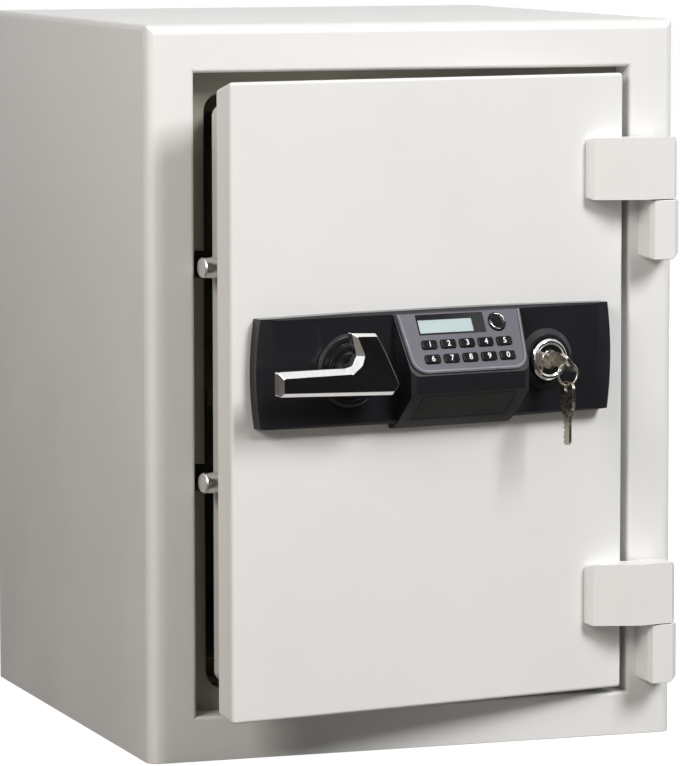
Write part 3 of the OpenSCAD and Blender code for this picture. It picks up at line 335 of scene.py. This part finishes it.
def finishes():
    """Every finish of the safe by name."""
    coat = coat_group()
    plate = metal_group()
    return {
        "paint": coated("off_white_powder_coat", coat, srgb(236, 236, 235), 0.42, drift=0.008, uneven=0.05,
                        grain=1100, depth=2.5e-5, strength=0.22),
        "liner": coated("grey_satin_paint", coat, srgb(205, 205, 200), 0.45, drift=0.015, grain=1300),
        # Darker and warmer than the jamb's own pale moulding: painted shade of the door gap
        "jamb": coated("grey_moulding_painted_shade", coat, srgb(158, 152, 139), 0.5, drift=0.02, grain=700),
        "fill": coated("poured_fire_fill", coat, srgb(170, 165, 155), 0.9, drift=0.12, grain=350,
                       depth=4e-4, strength=0.6),
        "seal": coated("black_heat_seal", coat, srgb(32, 32, 33), 0.85, drift=0.1, grain=600,
                       depth=1e-4, strength=0.4),
        "panel": coated("gloss_black_moulding", coat, srgb(34, 34, 38), 0.2, drift=0.05, uneven=0.04,
                        grain=1500, depth=6e-6, strength=0.2, shine=0.4),
        # Matt, and darker than the gloss panel: painted shade on the down-facing lower slope and the battery
        # cover
        "shade": coated("matt_black_moulding_painted_shade", coat, srgb(24, 23, 22), 0.45, drift=0.05, grain=1500,
                        depth=6e-6, shine=0.2),
        "satin": coated("satin_black_moulding", coat, srgb(18, 19, 22), 0.14, drift=0.06, grain=1600,
                        shine=0.3),
        "bezel": coated("gunmetal_lacquer", coat, srgb(79, 77, 89), 0.36, drift=0.03, uneven=0.06,
                        grain=3200, depth=1e-5, strength=0.25, shine=0.25),
        # Brighter than the bezel: a painted highlight on its raised rim
        "rim": coated("rim_lacquer_painted_highlight", coat, srgb(104, 103, 113), 0.25, drift=0.03, grain=3000,
                      depth=1e-5, strength=0.2, shine=0.4),
        "cap": coated("black_key_cap", coat, srgb(12, 12, 15), 0.12, drift=0.05, uneven=0.03, grain=2500,
                      depth=6e-6, shine=0.3),
        "print": coated("white_key_print", coat, srgb(235, 235, 235), 0.5, drift=0.03, grain=4000),
        "screen": coated("pale_green_display", coat, srgb(176, 193, 195), 0.3, drift=0.02, grain=5000,
                         depth=2e-6, shine=0.15),
        "board": coated("green_circuit_board", coat, srgb(38, 96, 54), 0.4, drift=0.15, grain=900),
        "cell": coated("cell_wrapper", coat, srgb(40, 40, 48), 0.35, drift=0.05, grain=900),
        "chrome": metal("polished_chrome", plate, (0.86, 0.85, 0.85, 1), 0.05, marks=0.06, scratch=300),
        "bolt": metal("polished_bolt_steel", plate, (0.78, 0.77, 0.75, 1), 0.09, marks=0.1, scratch=900,
                      stretch=(6, 0.4, 0.4), depth=1e-5, strength=0.3),
        "steel": metal("zinc_plated_steel", plate, (0.62, 0.63, 0.64, 1), 0.32, marks=0.18, scratch=600,
                       stretch=(1, 1, 6), depth=8e-6, strength=0.3),
        "nickel": metal("worn_nickel_key", plate, (0.52, 0.48, 0.41, 1), 0.16, marks=0.2, scratch=1200,
                        stretch=(3, 1, 0.3), depth=8e-6, strength=0.3),
    }


# The finish of each node; the handle's own pieces stand for its node
NODE_FINISH = {
    "outer_shell": "paint", "back_panel": "paint", "cabinet_insulation": "fill", "door_jamb": "jamb",
    "inner_liner": "liner", "strike_plate": "steel", "hinge_knuckle_upper": "paint",
    "hinge_knuckle_lower": "paint", "hinge_pin_upper": "steel", "hinge_pin_lower": "steel",
    "shelf": "liner", "shelf_pegs": "steel", "door_skin": "paint", "door_backing": "fill",
    "door_inner_panel": "liner", "door_insulation": "fill", "door_seal": "seal",
    "hinge_leaf_upper": "paint", "hinge_leaf_lower": "paint", "dead_bars": "bolt", "bolt_guides": "steel",
    "lock_panel": "panel", "keypad_bezel": "bezel", "display_frame": "satin", "display_screen": "screen",
    # The battery cover's darker finish is painted shade
    "circuit_board": "board", "battery_holder": "satin", "batteries": "cell", "battery_cover": "shade",
    "control_board": "board", "control_cable": "seal", "handle_collar": "panel", "spindle_bush": "steel",
    "spindle": "steel", "drive_cam": "steel", "bolt_bar": "steel", "bolt_upper": "bolt",
    "bolt_lower": "bolt", "solenoid": "steel", "solenoid_pin": "steel", "lock_housing": "chrome",
    "lock_plug": "chrome", "lock_cam": "steel", "inserted_key": "nickel", "key_ring": "nickel",
    "spare_key": "nickel", "start_button": "cap",
}
NODE_FINISH.update({"key_%d" % digit: "cap" for digit in range(10)})

# Edge rounding of the pieces that show, in millimetres
EDGE_ROUND = {
    "outer_shell": 0.5, "door_skin": 0.5, "door_backing": 0.3, "hinge_leaf_upper": 1.1,
    "hinge_leaf_lower": 1.1, "hinge_knuckle_upper": 1.1, "hinge_knuckle_lower": 1.1, "lock_panel": 0.7,
    "keypad_bezel": 0.22, "display_frame": 0.2, "display_screen": 0.15, "battery_cover": 0.4,
    "handle_collar": 0.25, "lock_housing": 0.3, "lock_plug": 0.2, "inserted_key": 0.3, "spare_key": 0.3,
    "start_button": 0.3, "door_jamb": 1.5, "inner_liner": 0.6, "shelf": 0.3, "door_inner_panel": 0.6,
    "back_panel": 0.3, "strike_plate": 0.3, "door_seal": 1.0, "bolt_upper": 0.3, "bolt_lower": 0.3,
    "dead_bars": 0.6,
}
EDGE_ROUND.update({"key_%d" % digit: 0.7 for digit in range(10)})


# Objects and meshes

def linked(name, data):
    """A new object of the scene."""
    thing = bpy.data.objects.new(name, data)
    bpy.context.scene.collection.objects.link(thing)
    return thing


def new_piece(name, mesh, body, *materials):
    """A mesh object that rides on a body and wears the materials."""
    piece = linked(name, mesh)
    for material in materials:
        mesh.materials.append(material)
    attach(piece, body)
    return piece


def plain_mesh(source, name):
    """The mesh that a source object's modifiers make; the source itself is deleted."""
    graph = bpy.context.evaluated_depsgraph_get()
    graph.update()
    mesh = bpy.data.meshes.new_from_object(source.evaluated_get(graph))
    mesh.name = name
    bpy.data.objects.remove(source)
    return mesh


def closed_mesh(work, name):
    """The mesh of a closed bmesh, its faces turned outwards."""
    bmesh.ops.recalc_face_normals(work, faces=work.faces)
    mesh = bpy.data.meshes.new(name)
    work.to_mesh(mesh)
    work.free()
    return mesh


def join_rings(work, rings):
    """Joins each ring of points to the next by faces; a ring may be a single point."""
    for low, high in zip(rings, rings[1:]):
        count = max(len(low), len(high))
        for step in range(count):
            after = (step + 1) % count
            corners = [low[step % len(low)], low[after % len(low)], high[after % len(high)],
                       high[step % len(high)]]
            distinct = list(dict.fromkeys(corners))
            if len(distinct) > 2:
                work.faces.new(distinct)


def lathe(name, profile, steps):
    """A closed mesh turned about local Z from (radius, height) pairs in millimetres."""
    work = bmesh.new()
    rings = []
    for radius, height in profile:
        if radius == 0:
            rings.append([work.verts.new((0, 0, height))])
            continue
        angles = [2 * math.pi * step / steps for step in range(steps)]
        rings.append([work.verts.new((radius * math.cos(angle), radius * math.sin(angle), height))
                      for angle in angles])
    join_rings(work, rings)
    return closed_mesh(work, name)


def smooth_up_to_creases(mesh):
    """Shades the mesh smooth and keeps the edges sharp that turn by more than a crease's angle."""
    mesh.shade_smooth()
    work = bmesh.new()
    work.from_mesh(mesh)
    for edge in work.edges:
        edge.smooth = len(edge.link_faces) == 2 and edge.calc_face_angle(0) < math.radians(CREASE_ANGLE)
    work.to_mesh(mesh)
    work.free()


def merged_mesh(node, name):
    """A copy of a solid's mesh with its points joined and its flat faces made whole."""
    mesh = node.data.copy()
    mesh.name = name
    mesh.materials.clear()
    work = bmesh.new()
    work.from_mesh(mesh)
    bmesh.ops.remove_doubles(work, verts=work.verts, dist=SAME_POINT)
    bmesh.ops.dissolve_limit(work, angle_limit=SAME_FACE, verts=work.verts, edges=work.edges)
    work.to_mesh(mesh)
    work.free()
    return mesh


def soft_edges(piece, radius, segments):
    """Rounds every edge sharper than a facet, and keeps the flats flat in the light."""
    piece.data.shade_smooth()
    edge = piece.modifiers.new("edge", "BEVEL")
    edge.width = radius
    edge.segments = segments
    edge.limit_method = "ANGLE"
    edge.angle_limit = math.radians(FACET_ANGLE)
    edge.use_clamp_overlap = True
    edge.harden_normals = True
    even = piece.modifiers.new("even_light", "WEIGHTED_NORMAL")
    even.mode = "FACE_AREA_WITH_ANGLE"
    even.weight = FLAT_WEIGHT
    even.keep_sharp = True


# Solids with rounded edges

def lean_the_folds(mesh):
    """Leans the pan's top and foot inwards towards the back, as the photograph shows them."""
    door = door_matrix()
    to_door = door.inverted()
    for vertex in mesh.vertices:
        place = to_door @ vertex.co
        side = 1 if place.z > DOOR_MID else -1
        if abs(place.z - DOOR_MID) > FOLD_HALF:
            place.z -= side * FOLD_LEAN[side] * min(max(place.y / PAN_DEEP, 0), 1)
            vertex.co = door @ place


def shorten_the_key(mesh):
    """Draws the hanging key up towards its ring hole."""
    hole = max(vertex.co.z for vertex in mesh.vertices) - KEY_HOLE_DROP * MM
    for vertex in mesh.vertices:
        if vertex.co.z < hole:
            vertex.co.z = hole + (vertex.co.z - hole) * KEY_SHORTER


RESHAPED = {"door_skin": lean_the_folds, "door_backing": lean_the_folds, "spare_key": shorten_the_key}


def softened(node_name, material):
    """The piece that shows in place of a solid: the same form with its sharp edges rounded."""
    mesh = merged_mesh(frame["nodes"][node_name], node_name + "_mesh")
    if node_name in RESHAPED:
        RESHAPED[node_name](mesh)
    source = linked(node_name + "_source", mesh)
    soft_edges(source, EDGE_ROUND[node_name] * MM, EDGE_STEPS)
    rounded = plain_mesh(source, node_name + "_rounded")
    rounded.materials.clear()
    piece = new_piece(node_name + "_finished", rounded, body_of_node[node_name], material)
    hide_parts(node_name)
    return piece


def paint_highlight_on_bezel_rim(bezel, rim):
    """Gives the bezel's raised rim a brighter lacquer colour, a painted highlight."""
    bezel.data.materials.append(rim)
    to_face = face_matrix().inverted()
    for polygon in bezel.data.polygons:
        heights = [(to_face @ bezel.data.vertices[index].co).z for index in polygon.vertices]
        if max(heights) > RIM_FROM:
            polygon.material_index = 1


def matt_and_shade_the_lower_slope(panel, matt_painted_shade):
    """Gives the console's lower slope a matt grain and a darker colour, painted shade where it faces down.
    """
    panel.data.materials.append(matt_painted_shade)
    for polygon in panel.data.polygons:
        if polygon.normal.z < SLOPE_DOWN and polygon.normal.y < SLOPE_OUT:
            polygon.material_index = 1


# The handle

def round_corners(corners, steps=8):
    """The outline through (x, y, radius) corners, each corner turned into an arc."""
    outline = []
    for index, (x, y, radius) in enumerate(corners):
        corner = Vector((x, y))
        before = (Vector(corners[index - 1][:2]) - corner).normalized()
        after = (Vector(corners[(index + 1) % len(corners)][:2]) - corner).normalized()
        half = math.acos(max(-1, min(1, before.dot(after)))) / 2
        middle = corner + (before + after).normalized() * radius / math.sin(half)
        start = corner + before * radius / math.tan(half) - middle
        end = corner + after * radius / math.tan(half) - middle
        for step in range(steps + 1):
            outline.append(middle + start.lerp(end, step / steps).normalized() * radius)
    return outline


def lever_plate():
    """The cranked lever with its sloped sides and soft edges."""
    work = bmesh.new()
    rings = []
    for corners, height in ((LEVER_OUTER, 0), (LEVER_OUTER, LEVER_EDGE), (LEVER_FACE, LEVER_THICK)):
        rings.append([work.verts.new((point.x, point.y, height)) for point in round_corners(corners)])
    join_rings(work, rings)
    work.faces.new(rings[0][::-1])
    work.faces.new(rings[-1])
    source = linked("lever_source", closed_mesh(work, "lever_mesh"))
    soft_edges(source, LEVER_SOFT, LEVER_STEPS)
    plate = plain_mesh(source, "lever_plate")
    plate.transform(handle_matrix(LEVER_BACK_Y))
    return plate


def lever_hub():
    """The round hub that reaches from the collar into the lever."""
    hub = lathe("lever_hub", [(0, 0), (HUB_R, 0), (HUB_R, HUB_LONG), (0, HUB_LONG)], HUB_FACETS)
    hub.transform(handle_matrix(HUB_FROM_Y))
    smooth_up_to_creases(hub)
    return hub


def handle(chrome):
    """The lever and its hub, in place of the handle's solid."""
    for name, mesh in (("handle_lever", lever_plate()), ("handle_hub", lever_hub())):
        piece = new_piece(name, mesh, "handle", chrome)
        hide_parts("handle")


# Small pieces that only show here

def printed_digits(print_white):
    """One printed digit on each key, riding with its key."""
    on_face = face_matrix()
    for row, digits in zip(KEY_ROWS, KEY_DIGITS):
        for column, digit in zip(KEY_COLUMNS, digits):
            words = bpy.data.curves.new("digit_" + digit, "FONT")
            words.body = digit
            words.size = DIGIT_SIZE
            words.offset = DIGIT_BOLD
            words.extrude = DIGIT_RISE
            words.align_x = "CENTER"
            words.align_y = "CENTER"
            mesh = plain_mesh(linked("digit_source", words), "digit_%s_mesh" % digit)
            mesh.transform(on_face @ Matrix.Translation((column, row, CAP_TOP + DIGIT_LIFT)))
            mesh.materials.clear()
            piece = new_piece("digit_" + digit, mesh, "key_" + digit, print_white)


def arc_strip(name, start, end, steps=28):
    """A thin raised strip along an arc with tapered ends, in millimetres on local XY."""
    work = bmesh.new()
    rings = []
    for step in range(steps + 1):
        angle = math.radians(start + (end - start) * step / steps)
        share = min(max(step / steps, ARC_TIP), 1 - ARC_TIP)
        taper = math.sqrt(math.sin(math.pi * share))
        half = ARC_WIDTH / 2 * taper
        ray = Vector((math.cos(angle), math.sin(angle), 0))
        lift = Vector((0, 0, ARC_RISE * taper))
        rings.append([work.verts.new(ray * (ARC_RADIUS - half)), work.verts.new(ray * ARC_RADIUS + lift),
                      work.verts.new(ray * (ARC_RADIUS + half))])
    join_rings(work, rings)
    work.faces.new(rings[0])
    work.faces.new(rings[-1])
    return closed_mesh(work, name)


def button_arcs(chrome):
    """Two bright arcs on the round button's rim."""
    place = face_matrix() @ Matrix.Translation(BUTTON)
    for name, (start, end) in ARC_DEGREES.items():
        mesh = arc_strip(name, start, end)
        mesh.transform(place)
        mesh.shade_smooth()
        new_piece(name, mesh, "start_button", chrome)


def screw_tree():
    """Geometry Nodes: a screw head in its finish at each point of a mesh."""
    tree = bpy.data.node_groups.new("screws_on_points", "GeometryNodeTree")
    for label, kind in (("Points", "Geometry"), ("Head", "Object"), ("Finish", "Material")):
        tree.interface.new_socket(label, in_out="INPUT", socket_type="NodeSocket" + kind)
    tree.interface.new_socket("Geometry", in_out="OUTPUT", socket_type="NodeSocketGeometry")
    given = tree.nodes.new("NodeGroupInput")
    out = tree.nodes.new("NodeGroupOutput")
    head = tree.nodes.new("GeometryNodeObjectInfo")
    spread = tree.nodes.new("GeometryNodeInstanceOnPoints")
    realize = tree.nodes.new("GeometryNodeRealizeInstances")
    finish = tree.nodes.new("GeometryNodeSetMaterial")
    tree.links.new(given.outputs["Points"], spread.inputs["Points"])
    tree.links.new(given.outputs["Head"], head.inputs["Object"])
    tree.links.new(head.outputs["Geometry"], spread.inputs["Instance"])
    tree.links.new(spread.outputs["Instances"], realize.inputs["Geometry"])
    tree.links.new(realize.outputs["Geometry"], finish.inputs["Geometry"])
    tree.links.new(given.outputs["Finish"], finish.inputs["Material"])
    tree.links.new(finish.outputs["Geometry"], out.inputs["Geometry"])
    return tree


def even_steps(half):
    """Places from -half to half, about a screw pitch apart."""
    count = max(2, round(2 * half / SCREW_PITCH) + 1)
    return [-half + 2 * half * step / (count - 1) for step in range(count)]


def screw_places():
    """Where the screws of the plug's flange sit on the shut door."""
    half_x, half_z = PLUG_HALF
    gap_x, gap_z = CORNER_GAP
    rows = [(x, FLANGE_Y, DOOR_MID + side * half_z)
            for x in even_steps(half_x - gap_x) for side in (-1, 1)]
    columns = [(side * half_x, FLANGE_Y, DOOR_MID + z)
               for z in even_steps(half_z - gap_z) for side in (-1, 1)]
    return rows + columns


def flange_screws(steel):
    """The pan-head screws round the plug's flange, which show when the door is open."""
    points = bpy.data.meshes.new("screw_points")
    points.from_pydata(screw_places(), [], [])
    holder = linked("flange_screws_source", points)
    head_mesh = lathe("screw_head", SCREW_HEAD, SCREW_FACETS)
    head_mesh.transform(Matrix.Rotation(-math.pi / 2, 4, "X"))
    head = linked("screw_head_source", head_mesh)
    tree = screw_tree()
    modifier = holder.modifiers.new("screws", "NODES")
    modifier.node_group = tree
    sockets = {item.name: item.identifier for item in tree.interface.items_tree if item.in_out == "INPUT"}
    modifier[sockets["Head"]] = head
    modifier[sockets["Finish"]] = steel
    mesh = plain_mesh(holder, "flange_screws_mesh")
    bpy.data.objects.remove(head)
    mesh.transform(door_matrix())
    smooth_up_to_creases(mesh)
    new_piece("flange_screws", mesh, "door")


# The studio

def look_matrix():
    """The camera's place and turn, from its yaw to the right, its pitch down and its roll."""
    yaw, pitch, roll = (math.radians(angle) for angle in (CAMERA_YAW, CAMERA_PITCH, CAMERA_ROLL))
    forward = Vector((math.sin(yaw) * math.cos(pitch), math.cos(yaw) * math.cos(pitch), -math.sin(pitch)))
    right = Vector((math.cos(yaw), -math.sin(yaw), 0))
    up = right.cross(forward)
    rolled_right = math.cos(roll) * right + math.sin(roll) * up
    rolled_up = math.cos(roll) * up - math.sin(roll) * right
    turn = Matrix((rolled_right, rolled_up, -forward)).transposed().to_4x4()
    return Matrix.Translation(CAMERA_AT * MM) @ turn


def add_camera():
    """The camera at the photograph's place, which the picture is taken with."""
    data = bpy.data.cameras.new("photo_camera")
    data.lens = CAMERA_LENS
    data.clip_end = CAMERA_FAR
    camera = linked("photo_camera", data)
    camera.matrix_world = look_matrix()
    bpy.context.scene.camera = camera


def aim_at(thing, at, aim):
    """Puts a lamp or a card at a place and turns it towards another."""
    thing.location = at
    thing.rotation_euler = (Vector(aim) - Vector(at)).to_track_quat("-Z", "Y").to_euler()


def add_softbox(name, at, aim, size, power, colour, mirrored):
    """A rectangular area lamp; gloss can be kept from mirroring it."""
    data = bpy.data.lights.new(name, "AREA")
    data.shape = "RECTANGLE"
    data.size, data.size_y = size
    data.energy = power
    data.color = colour
    lamp = linked(name, data)
    lamp.visible_glossy = mirrored
    aim_at(lamp, at, aim)


def sheet(name, half_x, half_y):
    """A flat mesh of one face about the origin, in metres."""
    mesh = bpy.data.meshes.new(name)
    corners = [(-half_x, -half_y, 0), (half_x, -half_y, 0), (half_x, half_y, 0), (-half_x, half_y, 0)]
    mesh.from_pydata(corners, [], [(0, 1, 2, 3)])
    return mesh


def add_flag(name, at, aim, size):
    """A dark card that only shows in polished metal and gloss, as a photographer's flag does."""
    card = linked(name, sheet(name, size[0] / 2, size[1] / 2))
    aim_at(card, at, aim)
    material, tree, shader = blank_material(name + "_cloth")
    shader.inputs["Base Color"].default_value = FLAG_BLACK
    shader.inputs["Roughness"].default_value = 1.0
    shader.inputs["Specular IOR Level"].default_value = 0.0
    card.data.materials.append(material)
    card.visible_camera = False
    card.visible_diffuse = False
    card.visible_shadow = False


def add_world():
    """A grey sky for the light, white where the camera, metal or glass looks at it."""
    world = bpy.data.worlds.new("studio")
    world.use_nodes = True
    tree = world.node_tree
    background = tree.nodes["Background"]
    seen = tree.nodes.new("ShaderNodeLightPath")
    direct = maths(tree, "MAXIMUM", seen.outputs["Is Camera Ray"], seen.outputs["Is Glossy Ray"])
    direct = maths(tree, "MAXIMUM", direct, seen.outputs["Is Transmission Ray"])
    tree.links.new(ranged(tree, direct, 0, 1, SKY_LEVEL, 1.0), background.inputs["Strength"])
    background.inputs["Color"].default_value = (1, 1, 1, 1)
    bpy.context.scene.world = world


def add_floor():
    """A floor that looks white and keeps the safe's soft shadow, and fades into the white background."""
    floor = linked("studio_floor", sheet("studio_floor", FLOOR_HALF, FLOOR_HALF))
    floor.location.z = -FLOOR_BELOW
    material, tree, shader = blank_material("white_floor")
    shader.inputs["Base Color"].default_value = FLOOR_BOUNCE
    shader.inputs["Roughness"].default_value = 0.9
    shader.inputs["Specular IOR Level"].default_value = 0.1
    seen = tree.nodes.new("ShaderNodeLightPath")
    paper = tree.nodes.new("ShaderNodeBsdfDiffuse")
    paper.inputs["Color"].default_value = FLOOR_PAPER
    glow = tree.nodes.new("ShaderNodeEmission")
    glow.inputs["Strength"].default_value = FLOOR_GLOW
    white = tree.nodes.new("ShaderNodeAddShader")
    tree.links.new(paper.outputs["BSDF"], white.inputs[0])
    tree.links.new(glow.outputs["Emission"], white.inputs[1])
    mix = tree.nodes.new("ShaderNodeMixShader")
    tree.links.new(seen.outputs["Is Camera Ray"], mix.inputs["Fac"])
    tree.links.new(shader.outputs["BSDF"], mix.inputs[1])
    tree.links.new(white.outputs["Shader"], mix.inputs[2])
    tree.links.new(mix.outputs["Shader"], tree.nodes["Material Output"].inputs["Surface"])
    floor.data.materials.append(material)


def add_studio():
    """The sky, the floor, the lamps, the dark cards and the camera."""
    bpy.context.scene.view_settings.view_transform = "Standard"
    add_world()
    add_floor()
    for softbox in SOFTBOXES:
        add_softbox(*softbox)
    for flag in FLAGS:
        add_flag(*flag)
    add_camera()


# The safe

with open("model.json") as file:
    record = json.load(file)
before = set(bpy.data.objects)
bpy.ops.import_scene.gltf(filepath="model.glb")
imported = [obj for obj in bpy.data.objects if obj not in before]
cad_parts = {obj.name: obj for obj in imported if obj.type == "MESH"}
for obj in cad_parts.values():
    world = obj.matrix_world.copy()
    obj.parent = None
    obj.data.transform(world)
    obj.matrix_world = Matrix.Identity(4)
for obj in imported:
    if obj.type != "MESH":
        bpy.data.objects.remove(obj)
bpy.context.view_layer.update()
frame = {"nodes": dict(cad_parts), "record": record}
bodies = frame["record"]["behaviour"]["bodies"]
body_of_node = {node_name: body for body, node_names in bodies.items() for node_name in node_names}
finish_of = finishes()

finished = {}
for node_name, finish_name in NODE_FINISH.items():
    if node_name in EDGE_ROUND:
        finished[node_name] = softened(node_name, finish_of[finish_name])
    else:
        worn = frame["nodes"][node_name].data.materials
        worn.clear()
        worn.append(finish_of[finish_name])

handle(finish_of["chrome"])
paint_highlight_on_bezel_rim(finished["keypad_bezel"], finish_of["rim"])
matt_and_shade_the_lower_slope(finished["lock_panel"], finish_of["shade"])
printed_digits(finish_of["print"])
button_arcs(finish_of["chrome"])
flange_screws(finish_of["steel"])
add_studio()
